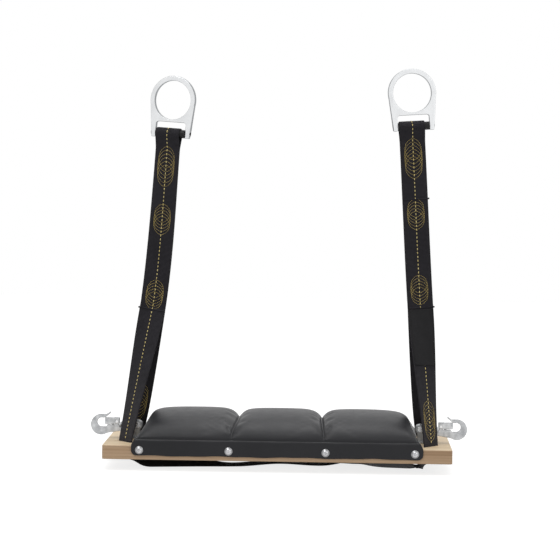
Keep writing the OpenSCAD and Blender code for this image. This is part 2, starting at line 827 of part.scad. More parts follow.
module gate_rivet(side) {
    stem = gate_inner + 2 * gate_t + 2 * running;
    head_t = 0.9;
    color(zinc_colour) at_hook(side) translate([gate_pivot[0], 0, gate_pivot[1]]) rotate([90, 0, 0]) {
        cylinder(d = rivet_d, h = stem, center = true);
        for (s = [-1, 1]) translate([0, 0, s * (stem + head_t) / 2])
            cylinder(d = rivet_d + 2, h = head_t, center = true);
    }
}

module left_gate_rivet() {
    gate_rivet(LEFT);
}

module right_gate_rivet() {
    gate_rivet(RIGHT);
}

// Folded sheet: two sides that straddle the spine and a web along the top
module gate(side) {
    tail = gate_pivot[0] - rivet_d / 2 - 2.6;
    web_from = gate_pivot[0] + rivet_d / 2 + 3.5;
    color(zinc_colour) at_hook(side) difference() {
        union() {
            for (s = [-1, 1]) translate([0, s * (gate_inner + gate_t) / 2, 0])
                hook_plate(gate_t) translate([tail, gate_top - gate_h]) square([gate_end - tail, gate_h]);
            translate([web_from, -gate_inner / 2, gate_top - gate_t])
                cube([gate_end - web_from, gate_inner, gate_t]);
        }
        translate([gate_pivot[0], 0, gate_pivot[1]]) rotate([90, 0, 0])
            cylinder(d = rivet_d + 2 * running, h = 2 * gate_inner, center = true);
    }
}

module left_gate() {
    gate(LEFT);
}

module right_gate() {
    gate(RIGHT);
}

// Leaf spring from the lug to the underside of the gate's web
module gate_spring(side) {
    leaf_t = 0.6;
    leaf_w = hook_t - 3;
    foot = [gate_pivot[0] + rivet_d / 2 + 2, ledge_top + seat_gap / 3];
    bend = foot + [3, 0];
    tip = [gate_end - 5, gate_top - gate_t - seat_gap - leaf_t];
    color(zinc_colour) at_hook(side) hook_plate(leaf_w)
        polygon([foot + [2.2, 0], bend + [3, 0], tip, tip + [0, leaf_t],
            bend + [2, leaf_t], foot + [2.2, leaf_t]]);
}

module left_gate_spring() {
    gate_spring(LEFT);
}

module right_gate_spring() {
    gate_spring(RIGHT);
}

seat_board();
seat_foam();
pad_cover();
front_flap();
rear_flap();
front_screws();
rear_screws();
front_washers();
rear_washers();
under_strap_a();
under_strap_b();
left_hook_bracket();
right_hook_bracket();
left_hook_pin();
right_hook_pin();
bracket_screws();
left_band();
left_front_leg();
left_rear_leg();
left_loop();
left_sleeve();
right_band();
right_front_leg();
right_rear_leg();
right_loop();
right_sleeve();
right_label();
left_ring();
left_ring_pin();
right_ring();
right_ring_pin();
left_hook_eye();
right_hook_eye();
left_hook();
left_gate_rivet();
left_gate_spring();
right_hook();
right_gate_rivet();
right_gate_spring();
left_gate();
right_gate();
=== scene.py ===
"""Looks of the bosun's chair: its pad, webbing, threads and materials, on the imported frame. Metres."""

import json
import math

import bmesh
import bpy
import numpy as np
from mathutils import Matrix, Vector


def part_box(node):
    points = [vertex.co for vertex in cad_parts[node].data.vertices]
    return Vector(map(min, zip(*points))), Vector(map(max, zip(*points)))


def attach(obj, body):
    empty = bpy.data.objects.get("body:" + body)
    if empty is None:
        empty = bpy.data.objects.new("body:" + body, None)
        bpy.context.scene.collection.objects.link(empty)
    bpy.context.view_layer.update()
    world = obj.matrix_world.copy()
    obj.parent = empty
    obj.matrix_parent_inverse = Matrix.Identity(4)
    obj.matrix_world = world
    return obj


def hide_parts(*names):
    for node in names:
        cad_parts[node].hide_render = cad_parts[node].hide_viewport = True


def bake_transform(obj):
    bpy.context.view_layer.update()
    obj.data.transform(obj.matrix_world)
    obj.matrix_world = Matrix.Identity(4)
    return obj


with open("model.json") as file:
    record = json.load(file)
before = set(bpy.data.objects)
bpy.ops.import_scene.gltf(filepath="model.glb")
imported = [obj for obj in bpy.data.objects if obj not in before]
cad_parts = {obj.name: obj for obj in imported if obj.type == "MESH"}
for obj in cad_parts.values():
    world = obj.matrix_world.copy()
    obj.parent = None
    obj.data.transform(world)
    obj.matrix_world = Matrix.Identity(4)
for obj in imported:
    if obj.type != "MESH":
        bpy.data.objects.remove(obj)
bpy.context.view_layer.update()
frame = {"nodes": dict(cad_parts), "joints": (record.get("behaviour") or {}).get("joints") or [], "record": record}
nodes = frame["nodes"]
joints = {j["name"]: j for j in frame["joints"]}
mounts = {m["name"]: m for m in frame["record"]["mounts"]}

board_low, board_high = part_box("seat_board")
BOARD_TOP = board_high.z
BOARD_BOTTOM = board_low.z
BOARD_HALF_D = board_high.y
pad_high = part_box("pad_cover")[1]
PAD_HALF_W = pad_high.x
PAD_HALF_D = pad_high.y
PAD_H = pad_high.z - BOARD_TOP
FLAP_DROP = BOARD_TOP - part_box("front_flap")[0].z

# Sizes that the part's source gives the pad
PAD_SIDE_H = 0.030
# The skin starts this much lower, because it swells
SWELL_ROOM = 0.0015
PAD_CROWN_H = PAD_H - PAD_SIDE_H - SWELL_ROOM
CROWN_INSET = 0.002
PAD_DRAW = {-1: 0.024, 1: 0.018}
LEFT_CHANNEL_X = 0.069
RIGHT_CHANNEL_X = 0.075
CHANNEL_FRONT_X = 0.080
CHANNEL_DEPTH = 0.014
CHANNEL_R = 0.009
CHANNEL_DRAW = 0.0012
FLAP_CORNER_R = 0.009
SCREW_XS = (-0.236, -0.083, 0.083, 0.236)
SCREW_DROP = 0.0075

# Sizes that the part's source gives the webbing
WEB_W = 0.045
WEB_T = 0.0026
PLY_GAP = 0.0002
PLY_OFFSET = (WEB_T + PLY_GAP) / 2
SLOT_X = 0.266
REAR_SLOT_IN = 0.006
SLOT_Y = 0.057
SLOT_TURN = math.radians(57)
# How far down its slot the webbing is parted
PART_DEPTH = 0.012
RISER_IN = 0.0009
SPLIT_H = 0.237
SPLIT_X = {"left": 0.223, "right": 0.245}
TWIST = {-1: 1.65, 1: 0.45}
LEG_END = 0.006
LOOP_NECK = 0.026
SLEEVE_R = 0.0072
SLEEVE_GAP = 0.00005
LOOP_R = SLEEVE_R + SLEEVE_GAP + WEB_T / 2
WEB_SHIFT = 0.0035
SIDES = {"left": -1, "right": 1}
FRONT, REAR = -1, 1


def unit(v):
    return v / np.linalg.norm(v, axis=-1, keepdims=True)


def ease(t):
    t = np.clip(t, 0, 1)
    return t * t * (3 - 2 * t)


def mix(a, b, t):
    return a + (b - a) * t


# Camera at the photograph's place

CAMERA_PLACE = np.array([0.095, -4.725, BOARD_TOP + 0.4775])
CAMERA_AIM = np.array([-0.0015, 0, BOARD_TOP + 0.282])
CAMERA_ROLL = math.radians(-0.8)
CAMERA_LENS = 173.6
CAMERA_SENSOR = 36
CAMERA_REACH = 50


def put(made, right, up, back, place):
    """Link an object into the scene at a place, turned by its three axes."""
    bpy.context.scene.collection.objects.link(made)
    matrix = np.eye(4)
    matrix[:3, 0], matrix[:3, 1], matrix[:3, 2], matrix[:3, 3] = right, up, back, place
    made.matrix_world = Matrix(matrix.tolist())


def make_camera():
    forward = unit(CAMERA_AIM - CAMERA_PLACE)
    right = unit(np.cross(forward, [0, 0, 1]))
    up = np.cross(right, forward)
    x_axis = math.cos(CAMERA_ROLL) * right - math.sin(CAMERA_ROLL) * up
    y_axis = math.sin(CAMERA_ROLL) * right + math.cos(CAMERA_ROLL) * up
    data = bpy.data.cameras.new("camera")
    data.sensor_width = CAMERA_SENSOR
    data.lens = CAMERA_LENS
    data.clip_end = CAMERA_REACH
    camera = bpy.data.objects.new("camera", data)
    put(camera, x_axis, y_axis, -forward, CAMERA_PLACE)
    bpy.context.scene.camera = camera


# Materials

RIB_PITCH = 0.0021
YARN_PITCH = 0.0012
LABEL_PITCH = 0.0008
PLIES = 9


class Nodes:
    """A material's node tree, with short ways to add and link nodes."""

    def __init__(self, name):
        self.material = bpy.data.materials.new(name)
        self.material.use_nodes = True
        self.tree = self.material.node_tree
        self.shader = self.tree.nodes["Principled BSDF"]

    def add(self, kind, inputs=None, **settings):
        node = self.tree.nodes.new(kind)
        for key, value in settings.items():
            setattr(node, key, value)
        for key, value in (inputs or {}).items():
            self.give(node.inputs[key], value)
        return node

    def give(self, socket, value):
        if isinstance(value, bpy.types.NodeSocket):
            self.tree.links.new(value, socket)
        else:
            socket.default_value = value

    def set(self, **values):
        for key, value in values.items():
            self.give(self.shader.inputs[key.replace("_", " ")], value)

    def math(self, operation, a, b=0.0, c=0.0):
        return self.add("ShaderNodeMath", {0: a, 1: b, 2: c}, operation=operation).outputs[0]

    def wave(self, value, pitch):
        return self.math("SINE", self.math("MULTIPLY", value, 2 * math.pi / pitch))

    def place(self, scale=(1, 1, 1)):
        where = self.add("ShaderNodeTexCoord").outputs["Object"]
        return self.add("ShaderNodeMapping", {"Vector": where, "Scale": scale}).outputs[0]

    def noise(self, vector, scale, detail=3.0, roughness=0.55):
        inputs = {"Vector": vector, "Scale": scale, "Detail": detail, "Roughness": roughness}
        return self.add("ShaderNodeTexNoise", inputs).outputs["Fac"]

    def ramp(self, value, *stops):
        node = self.add("ShaderNodeValToRGB", {"Fac": value})
        steps = node.color_ramp.elements
        while len(steps) < len(stops):
            steps.new(0.5)
        for step, (place, colour) in zip(steps, stops):
            step.position = place
            step.color = (*colour, 1)
        return node.outputs["Color"]

    def blend(self, share, a, b):
        node = self.add("ShaderNodeMix", data_type="RGBA")
        self.give(node.inputs["Factor"], share)
        self.give(node.inputs[6], a if isinstance(a, bpy.types.NodeSocket) else (*a, 1))
        self.give(node.inputs[7], b if isinstance(b, bpy.types.NodeSocket) else (*b, 1))
        return node.outputs[2]

    def bump(self, height, strength, distance, under=None):
        inputs = {"Height": height, "Strength": strength, "Distance": distance}
        if under is not None:
            inputs["Normal"] = under
        return self.add("ShaderNodeBump", inputs).outputs[0]

    def spread(self, value, low, high):
        inputs = {"Value": value, "To Min": low, "To Max": high}
        return self.add("ShaderNodeMapRange", inputs).outputs[0]


def vinyl_material():
    """Satin black coated cloth with a fine pebbled grain and a cloudy tone, paler in patches."""
    n = Nodes("vinyl")
    where = n.place()
    cells = n.add("ShaderNodeTexVoronoi", {"Vector": where, "Scale": 900.0}).outputs["Distance"]
    cloudy = n.noise(where, 14.0)
    grain = n.bump(cells, 0.22, 0.0003)
    n.set(
        Base_Color=n.ramp(cloudy, (0.3, (0.0080, 0.0082, 0.0104)), (0.75, (0.0140, 0.0142, 0.0168))),
        Roughness=n.spread(n.noise(where, 60.0), 0.34, 0.50),
        Normal=n.bump(n.noise(where, 220.0), 0.08, 0.0008, grain),
        Specular_IOR_Level=0.30,
    )
    return n.material


def webbing_material():
    """Black polyester webbing: fine ribs across the strap, and yarns along it."""
    n = Nodes("webbing")
    uv = n.add("ShaderNodeUVMap", uv_map="strap").outputs[0]
    parts = n.add("ShaderNodeSeparateXYZ", {0: uv})
    across, along = parts.outputs[0], parts.outputs[1]
    ribs = n.wave(along, RIB_PITCH)
    yarns = n.wave(across, YARN_PITCH)
    weave = n.math("ADD", ribs, n.math("MULTIPLY", yarns, 0.45))
    where = n.place()
    fuzz = n.noise(where, 2600.0, 2.0)
    # The ribs also change the colour: painted shade between the ribs, over a cloudy tone.
    rib_shade_and_tone = n.math("ADD", n.math("MULTIPLY", ribs, 0.45), n.math("MULTIPLY", n.noise(where, 30.0), 0.9))
    n.set(
        Base_Color=n.ramp(rib_shade_and_tone, (0.1, (0.0070, 0.0064, 0.0086)), (0.85, (0.0285, 0.0262, 0.0320))),
        Roughness=0.72,
        Normal=n.bump(fuzz, 0.2, 0.0003, n.bump(weave, 0.7, 0.00035)),
        Specular_IOR_Level=0.2,
        Sheen_Weight=0.04,
        Sheen_Roughness=0.5,
    )
    return n.material


def thread_material(name, dark, light):
    """Gold sewing thread, twisted and a little worn."""
    n = Nodes(name)
    where = n.place()
    worn = n.noise(where, 160.0)
    n.set(
        Base_Color=n.ramp(worn, (0.25, dark), (0.75, light)),
        Roughness=0.6,
        Normal=n.bump(n.noise(where, 3000.0), 0.4, 0.0002),
    )
    return n.material


def label_material():
    """Plain black woven patch."""
    n = Nodes("label")
    uv = n.add("ShaderNodeUVMap", uv_map="strap").outputs[0]
    parts = n.add("ShaderNodeSeparateXYZ", {0: uv})
    one = n.wave(parts.outputs[0], LABEL_PITCH)
    two = n.wave(parts.outputs[1], LABEL_PITCH)
    cloudy = n.noise(n.place(), 40.0)
    n.set(
        Base_Color=n.ramp(cloudy, (0.3, (0.0070, 0.0068, 0.0076)), (0.8, (0.0140, 0.0136, 0.0150))),
        Roughness=0.62,
        Normal=n.bump(n.math("MULTIPLY", one, two), 0.4, 0.0002),
        Specular_IOR_Level=0.2,
    )
    return n.material


def plywood_material():
    """Birch plywood: long grain on its faces, stacked plies with end grain on its edges."""
    n = Nodes("plywood")
    flow = n.noise(n.place((3, 26, 26)), 2.2, 6.0, 0.6)
    pores = n.noise(n.place((26, 1100, 1100)), 1.0, 2.0)
    face = n.ramp(flow, (0.28, (0.60, 0.455, 0.285)), (0.5, (0.70, 0.555, 0.365)),
                  (0.72, (0.77, 0.64, 0.45)))
    face = n.blend(n.spread(pores, 0.0, 0.34), face, (0.47, 0.33, 0.19))

    height = n.add("ShaderNodeSeparateXYZ", {0: n.place()}).outputs[2]
    ply = n.math("MULTIPLY", n.math("SUBTRACT", height, BOARD_BOTTOM), PLIES / (BOARD_TOP - BOARD_BOTTOM))
    wobble = n.math("MULTIPLY", n.math("SUBTRACT", n.noise(n.place((6, 6, 60)), 3.0), 0.5), 0.35)
    stripe = n.math("PINGPONG", n.math("ADD", ply, wobble), 1.0)
    layers = n.noise(n.place((1.2, 1.2, 190)), 1.0, 3.0, 0.6)
    edge = n.ramp(layers, (0.34, (0.46, 0.295, 0.17)), (0.52, (0.64, 0.44, 0.275)),
                  (0.7, (0.76, 0.56, 0.37)))
    glue = n.math("MULTIPLY", n.math("LESS_THAN", stripe, 0.16), 0.34)
    edge = n.blend(glue, edge, (0.30, 0.175, 0.095))
    end_grain = n.noise(n.place((90, 90, 900)), 1.0, 3.0)
    edge = n.blend(n.spread(end_grain, 0.0, 0.30), edge, (0.40, 0.255, 0.155))

    normal = n.add("ShaderNodeNewGeometry").outputs["Normal"]
    facing = n.add("ShaderNodeSeparateXYZ", {0: normal}).outputs[2]
    flat = n.math("GREATER_THAN", n.math("ABSOLUTE", facing), 0.7)
    n.set(
        Base_Color=n.blend(flat, edge, face),
        Roughness=n.spread(flow, 0.42, 0.6),
        Normal=n.bump(pores, 0.16, 0.0003, n.bump(stripe, 0.1, 0.0004)),
        Specular_IOR_Level=0.4,
    )
    return n.material


def metal_material(name, dark, light, rough, grain, scratches, plate=None, rim=None, edge=None):
    """A metal with uneven shine and small scratches.

    The rim colour comes in on the sides of a plate, given by its axis, or within edge of an edge: painted shade
    that draws dark outlines, and on a plate's sides partly duller sawn metal too.
    """
    n = Nodes(name)
    where = n.place()
    cloudy = n.noise(where, grain, 4.0)
    fine = n.noise(n.place((90, 900, 900)), 2.0, 3.0)
    colour = n.ramp(cloudy, (0.3, dark), (0.7, light))
    rounded = None
    if edge is not None:
        rounded = n.add("ShaderNodeBevel", {"Radius": edge}, samples=6).outputs[0]
        # Painted shade: where the rounded normal turns away from the face, the colour goes to the rim colour and
        # draws dark outlines.
        facing = n.add("ShaderNodeVectorMath", {0: rounded}, operation="DOT_PRODUCT")
        n.give(facing.inputs[1], n.add("ShaderNodeNewGeometry").outputs["Normal"])
        colour = n.blend(n.spread(facing.outputs["Value"], -9.0, 1.0), rim, colour)
    if plate is not None:
        # The plate's sides take the rim colour: partly duller sawn metal, partly painted shade outlining its
        # faces.
        facing = n.add("ShaderNodeVectorMath", {1: plate}, operation="DOT_PRODUCT")
        n.give(facing.inputs[0], n.add("ShaderNodeTexCoord").outputs["Normal"])
        flat = n.spread(n.math("ABSOLUTE", facing.outputs["Value"]), -4.2, 1.6)
        colour = n.blend(flat, rim, colour)
    n.set(
        Base_Color=colour,
        Metallic=1.0,
        Roughness=n.spread(n.noise(where, grain * 3, 3.0), rough[0], rough[1]),
        Normal=n.bump(fine, scratches, 0.0002, n.bump(cloudy, 0.03, 0.0006, rounded)),
    )
    return n.material


def sleeve_material():
    """Moulded black plastic with a matt skin."""
    n = Nodes("sleeve")
    where = n.place()
    cloudy = n.noise(where, 80.0)
    n.set(
        Base_Color=n.ramp(cloudy, (0.3, (0.006, 0.006, 0.006)), (0.7, (0.012, 0.012, 0.0125))),
        Roughness=n.spread(n.noise(where, 300.0), 0.38, 0.55),
        Normal=n.bump(n.noise(where, 1500.0), 0.2, 0.0002),
        Specular_IOR_Level=0.25,
    )
    return n.material


# Meshes


class Build:
    """Points, faces and their materials, gathered into one mesh."""

    def __init__(self):
        self.points, self.faces, self.slots, self.uvs = [], [], [], []

    def rings(self, rings, slot=0, uvs=None, caps=True, around=True):
        """A surface through rings of points, closed round each ring unless around is false."""
        rings = np.asarray(rings, float)
        count, size = rings.shape[:2]
        first = len(self.points)
        self.points += rings.reshape(-1, 3).tolist()
        flat = np.zeros((count * size, 2)) if uvs is None else np.asarray(uvs, float).reshape(-1, 2)
        self.uvs += flat.tolist()
        for i in range(count - 1):
            for k in range(size if around else size - 1):
                a, b = first + i * size + k, first + i * size + (k + 1) % size
                self.faces.append((a, b, b + size, a + size))
                self.slots.append(slot)
        if caps and around:
            last = first + (count - 1) * size
            self.faces.append(tuple(range(first + size - 1, first - 1, -1)))
            self.faces.append(tuple(range(last, last + size)))
            self.slots += [slot, slot]

    def piece(self, name, *materials):
        mesh = bpy.data.meshes.new(name)
        mesh.from_pydata(self.points, [], self.faces)
        mesh.polygons.foreach_set("material_index", self.slots)
        mesh.polygons.foreach_set("use_smooth", [True] * len(self.faces))
        layer = mesh.uv_layers.new(name="strap")
        corners = np.zeros(len(mesh.loops), np.int32)
        mesh.loops.foreach_get("vertex_index", corners)
        layer.data.foreach_set("uv", np.asarray(self.uvs, np.float32)[corners].ravel())
        for material in materials:
            mesh.materials.append(material)
        mesh.validate()
        shell = bmesh.new()
        shell.from_mesh(mesh)
        bmesh.ops.recalc_face_normals(shell, faces=shell.faces)
        shell.to_mesh(mesh)
        shell.free()
        made = bpy.data.objects.new(name, mesh)
        bpy.context.scene.collection.objects.link(made)
        return made


# Webbing

STRAP_STEP = 0.0025
# Faces of a strap, and material slots of a hanger
OUTER, INNER = -1, 1
THREAD, FINE_THREAD = 1, 2


class Ribbon:
    """A strap's middle line, with the directions across it and out of its inner face."""

    def __init__(self, path, across, step=STRAP_STEP, soften=2):
        path, across = np.asarray(path, float), np.asarray(across, float)
        run = np.concatenate([[0], np.cumsum(np.linalg.norm(np.diff(path, axis=0), axis=1))])
        count = int(run[-1] / step) + 1
        self.run = np.linspace(0, run[-1], count)
        path = self.through(run, path)
        across = self.through(run, across)
        for _ in range(soften):
            path[1:-1] = (path[:-2] + 2 * path[1:-1] + path[2:]) / 4
        along = unit(np.gradient(path, axis=0))
        self.path = path
        self.across = unit(across - np.sum(across * along, axis=1, keepdims=True) * along)
        self.normal = np.cross(along, self.across)

    def through(self, run, values):
        return np.stack([np.interp(self.run, run, values[:, k]) for k in range(3)], axis=1)

    def at(self, run, side, lift):
        """Points at run along the strap, side of its middle line and lift off its middle."""
        run, side, lift = np.broadcast_arrays(run, side, lift)
        pick = [np.stack([np.interp(run, self.run, v[:, k]) for k in range(3)], axis=-1)
                for v in (self.path, self.across, self.normal)]
        return pick[0] + side[..., None] * pick[1] + lift[..., None] * pick[2]

    def nearest(self, point, first=0.0, last=1.0):
        """The run at which the strap passes nearest to point, between two shares of its length."""
        inside = (self.run >= first * self.run[-1]) & (self.run <= last * self.run[-1])
        off = np.where(inside, np.linalg.norm(self.path - np.asarray(point), axis=1), 1e9)
        return self.run[int(np.argmin(off))]


def add_strap(build, ribbon, width=WEB_W, thick=WEB_T, lift=0.0, start=None, stop=None):
    """A strap with rolled edges along a ribbon, or along a stretch of it."""
    run = ribbon.run
    if start is not None:
        run = np.linspace(start, stop, max(8, int((stop - start) / STRAP_STEP)))
    roll = thick / 2
    flat = np.linspace(-1, 1, 9) * (width / 2 - roll)
    turn = np.radians([-60, -30, 0, 30, 60])
    side = np.concatenate([flat, width / 2 - roll + roll * np.cos(turn), flat[::-1],
                           -(width / 2 - roll) - roll * np.cos(turn)])
    up = np.concatenate([np.full(9, -roll), roll * np.sin(turn), np.full(9, roll), -roll * np.sin(turn)])
    rings = ribbon.at(run[:, None], side[None, :], lift + up[None, :])
    uvs = np.stack(np.broadcast_arrays(side[None, :], run[:, None]), axis=-1)
    build.rings(rings, uvs=uvs)


# Height of a thread's middle above a strap's middle
SKIN = WEB_T / 2 + 0.00015
THREAD_R = 0.00068


def add_thread(build, ribbon, run, side, face, lift, slot, radius=THREAD_R, sides=6):
    """A sewing thread laid on one face of a strap, through points given as run and side."""
    line = ribbon.at(run, side, face * lift)
    out = unit(ribbon.at(run, side, face * (lift + 0.001)) - line)
    beside = unit(np.cross(unit(np.gradient(line, axis=0)), out))
    turn = np.arange(sides) * 2 * math.pi / sides
    rings = line[:, None] + radius * (np.cos(turn)[None, :, None] * beside[:, None]
                                      + np.sin(turn)[None, :, None] * out[:, None])
    build.rings(rings, slot)


STITCH_PITCH = 0.0068
STITCH_L = 0.0036


def add_dashes(build, ribbon, start, stop, face):
    """A row of stitches along the middle of a strap."""
    for run in np.arange(start + STITCH_PITCH / 2, stop - STITCH_L, STITCH_PITCH):
        ends = run + STITCH_L * np.array([0, 0.12, 0.5, 0.88, 1])
        sunk = np.array([0.0006, 0.0001, 0, 0.0001, 0.0006])
        add_thread(build, ribbon, ends, np.zeros(5), face, SKIN - sunk, THREAD)


PLY_TAG = 0.0022
PLY_STEP = 0.0007
PLY_SUNK = 0.0008
PLY_EDGE = 0.0030
OVAL_THREAD = 0.00028
OVAL_STITCH = 0.0030
# How far an oval's ends come to a point: 1 is an ellipse
OVAL_POINT = 1.25
# How much narrower the outermost ovals of a pattern are
OVAL_NARROW = 0.10


def add_ovals(build, ribbon, middle, count, pitch, wide, tall, face):
    """A sewn pattern of overlapping ovals, one pitch apart along the strap, of short stitches."""
    stitches = int(math.pi * (wide + tall) / 2 / OVAL_STITCH)
    for k in range(count):
        off = k - (count - 1) / 2
        half_w = wide / 2 * (1 - OVAL_NARROW * (2 * off / count) ** 2)
        centre = middle + off * pitch
        for stitch in range(stitches):
            turn = 2 * math.pi * (stitch + 0.37 * k + np.array([0.0, 0.25, 0.5, 0.75])) / stitches
            sunk = np.array([0.0003, 0, 0, 0.0003])
            side = half_w * np.sign(np.cos(turn)) * np.abs(np.cos(turn)) ** OVAL_POINT
            add_thread(build, ribbon, centre + tall / 2 * np.sin(turn), side,
                       face, SKIN - sunk, FINE_THREAD, OVAL_THREAD, 4)


def add_ply_end(build, ribbon, run, tag):
    """The cut end of a sewn-on ply: a raised edge across the strap, with a tag past one side."""
    side = np.linspace(-WEB_W / 2, WEB_W / 2, 12)
    side[0 if tag < 0 else -1] += tag * PLY_TAG
    up = WEB_T / 2 + np.array([-PLY_SUNK, PLY_STEP, PLY_STEP, -PLY_SUNK])
    along = run + PLY_EDGE * np.array([0, 0.05, 0.9, 1])
    build.rings(ribbon.at(along[None, :], side[:, None], OUTER * up[None, :]))


def slot_place(side, end):
    return np.array([side * (SLOT_X - (REAR_SLOT_IN if end == REAR else 0)), end * SLOT_Y, 0])


def leg_across(side, end, t):
    """Across a leg at t of its way up: along the slot at its foot, along X at the top."""
    turn = SLOT_TURN * (1 - np.clip(t, 0, 1) ** TWIST[end])
    return np.stack([np.cos(turn), -side * end * np.sin(turn), 0 * turn], axis=-1)


def split_point(name):
    return np.array([SIDES[name] * SPLIT_X[name], 0, BOARD_TOP + SPLIT_H])


def leg_line(name, end):
    """Middle line and acrosses of a leg, from inside its slot to where the legs meet."""
    side = SIDES[name]
    slot = slot_place(side, end)
    foot = slot - RISER_IN * unit(slot) + [0, 0, BOARD_TOP]
    top = split_point(name) + [0, end * PLY_OFFSET, 0]
    rise = top - foot
    bend = top - LEG_END * unit(rise * [1, 0, 1])
    t = np.linspace(0, 1, 40)
    path = np.concatenate([[foot - [0, 0, PART_DEPTH]], mix(foot, bend, t[:, None]), [top]])
    return path, leg_across(side, end, np.concatenate([[0], t, [1]]))


def hanger_frame(name):
    """The ring pin's direction, the way up the hanger and the loop's middle."""
    swing = joints[name + "_ring_swing"]
    bar, across = np.array(swing["pos_m"]), np.array(swing["axis"])
    up = unit(np.array(mounts[name + "_ring_eye"]["pos_m"]) - bar)
    return across, up, bar - WEB_SHIFT * across


def hanger_ribbon(name):
    """One strap from the front slot up, round the ring's sleeve and down to the rear slot."""
    across, up, middle = hanger_frame(name)
    start, stop = split_point(name), middle - LOOP_NECK * up
    span = np.linalg.norm(stop - start)
    slot = np.array([SIDES[name] * SLOT_X, 0, BOARD_TOP])
    leave = span * unit(unit(stop - start) + unit(start - slot))
    t = np.linspace(0, 1, 60)[:, None]
    band = ((2 * t**3 - 3 * t**2 + 1) * start + (t**3 - 2 * t**2 + t) * leave
            + (3 * t**2 - 2 * t**3) * stop + (t**3 - t**2) * span * up)
    band_across = unit(mix(np.array([1.0, 0, 0]), across, ease(t)))
    inward = unit(np.cross(unit(np.gradient(band, axis=0)), band_across))
    depth = np.cross(up, across)
    reach = math.acos(LOOP_R / math.hypot(PLY_OFFSET, LOOP_NECK))
    turn = np.linspace(math.atan2(-LOOP_NECK, -PLY_OFFSET) % (2 * math.pi) - reach,
                       math.atan2(-LOOP_NECK, PLY_OFFSET) + reach, 30)[:, None]
    loop = middle + LOOP_R * (np.cos(turn) * depth + np.sin(turn) * up)
    front, front_across = leg_line(name, FRONT)
    rear, rear_across = leg_line(name, REAR)
    path = np.concatenate([front, (band - PLY_OFFSET * inward)[1:], loop,
                           (band + PLY_OFFSET * inward)[:0:-1], rear[::-1]])
    acrosses = np.concatenate([front_across, band_across[1:], np.repeat(across[None], len(loop), 0),
                               band_across[:0:-1], rear_across[::-1]])
    return Ribbon(path, acrosses)


# Sewn patterns from the ring down: how many ovals, their pitch, width and height
OVALS = ((6, 0.0065, 0.031, 0.038), (5, 0.0054, 0.030, 0.032), (5, 0.0052, 0.030, 0.031))
# How far below the ring's pin the middle of each pattern lies
OVAL_DROPS = {"left": (0.0587, 0.152, 0.283), "right": (0.0555, 0.1525, 0.2865)}
# How far below the ring's pin a ply ends, and the side that its tag is on
PLY_ENDS = {"left": ((0.312, -1),), "right": ((0.128, 1), (0.318, 1))}


# How far from its ends a hanger's sewing stops, and how far up the legs' inner faces it runs
SEWN_FROM = 0.014
INNER_SEWN_TO = 0.200
# The pattern near a foot: which leg it is on, and how far from that leg's end
FOOT_OVALS = {"left": (REAR, 0.075), "right": (FRONT, 0.056)}


def make_hanger(name, webbing, thread, fine_thread):
    ribbon = hanger_ribbon(name)
    length = ribbon.run[-1]
    build = Build()
    add_strap(build, ribbon)
    _, up, middle = hanger_frame(name)
    half = ribbon.nearest(middle + LOOP_R * up)
    for drop, pattern in zip(OVAL_DROPS[name], OVALS):
        for first, last in ((0.0, 0.5), (0.5, 1.0)):
            add_ovals(build, ribbon, ribbon.nearest(middle - drop * up, first, last), *pattern, OUTER)
    add_dashes(build, ribbon, SEWN_FROM, length - SEWN_FROM, OUTER)
    for drop, tag in PLY_ENDS[name]:
        add_ply_end(build, ribbon, ribbon.nearest(middle - drop * up, 0.0, 0.5), tag)
    leg, off_end = FOOT_OVALS[name]
    foot = off_end if leg == FRONT else length - off_end
    for face in (OUTER, INNER):
        add_ovals(build, ribbon, foot, *OVALS[0], face)
    add_dashes(build, ribbon, SEWN_FROM, INNER_SEWN_TO, INNER)
    add_dashes(build, ribbon, 2 * half - INNER_SEWN_TO, length - SEWN_FROM, INNER)
    piece = build.piece(name + "_webbing", webbing, thread, fine_thread)
    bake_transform(piece)
    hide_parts(*[name + "_" + part for part in ("band", "front_leg", "rear_leg", "loop")])
    return ribbon


LABEL_T = 0.0008
LABEL_IN = 0.001
LABEL_DROP = 0.001
# Height of the patch's middle above the strap's middle
LABEL_LIFT = WEB_T / 2 + 0.0006
# Stitches along the patch's sides: how far in from the strap's sides and the patch's ends they lie
BORDER_IN = 0.0032
BORDER_END = 0.0022
BORDER_PITCH = 0.0032
BORDER_STITCH = 0.0021
BORDER_RISE = 0.0003


def add_border(build, ribbon, start, stop, side):
    """Short dark stitches along one side of the patch."""
    for run in np.arange(start, stop, BORDER_PITCH):
        ends = run + BORDER_STITCH * np.array([0, 0.2, 0.8, 1])
        sunk = np.array([0.0004, 0, 0, 0.0004])
        add_thread(build, ribbon, ends, np.full(4, side), OUTER, LABEL_LIFT + BORDER_RISE - sunk, 0)


def make_label(ribbon, label):
    """The bare patch on the right hanger's front leg, sewn down along its sides."""
    low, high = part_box("right_label")
    stop = ribbon.nearest(split_point("right"), 0.0, 0.5) - LABEL_DROP
    start = stop - (high.z - low.z)
    build = Build()
    add_strap(build, ribbon, WEB_W - 2 * LABEL_IN, LABEL_T, OUTER * LABEL_LIFT, start, stop)
    reach = WEB_W / 2 - BORDER_IN
    for side in (-reach, reach):
        add_border(build, ribbon, start + BORDER_END, stop - BORDER_END, side)
    piece = build.piece("label_patch", label)
    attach(piece, "right_hanger")
    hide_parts("right_label")


# Under straps

BEND_DEPTH = WEB_T / 2 + 0.004
LOBE_START = 0.044
TURN_START = 0.0035
TILT = math.radians(17)
RUN_L = float(np.linalg.norm(slot_place(1, REAR) - slot_place(-1, FRONT)))
# Depths at the crossing: the lower strap clears the ground, and the upper one the lower
GROUND_GAP = 0.004
CROSS_GAP = 0.003
LOWER_DEPTH = BOARD_BOTTOM - WEB_T / 2 - GROUND_GAP
UPPER_DEPTH = LOWER_DEPTH - WEB_T - CROSS_GAP
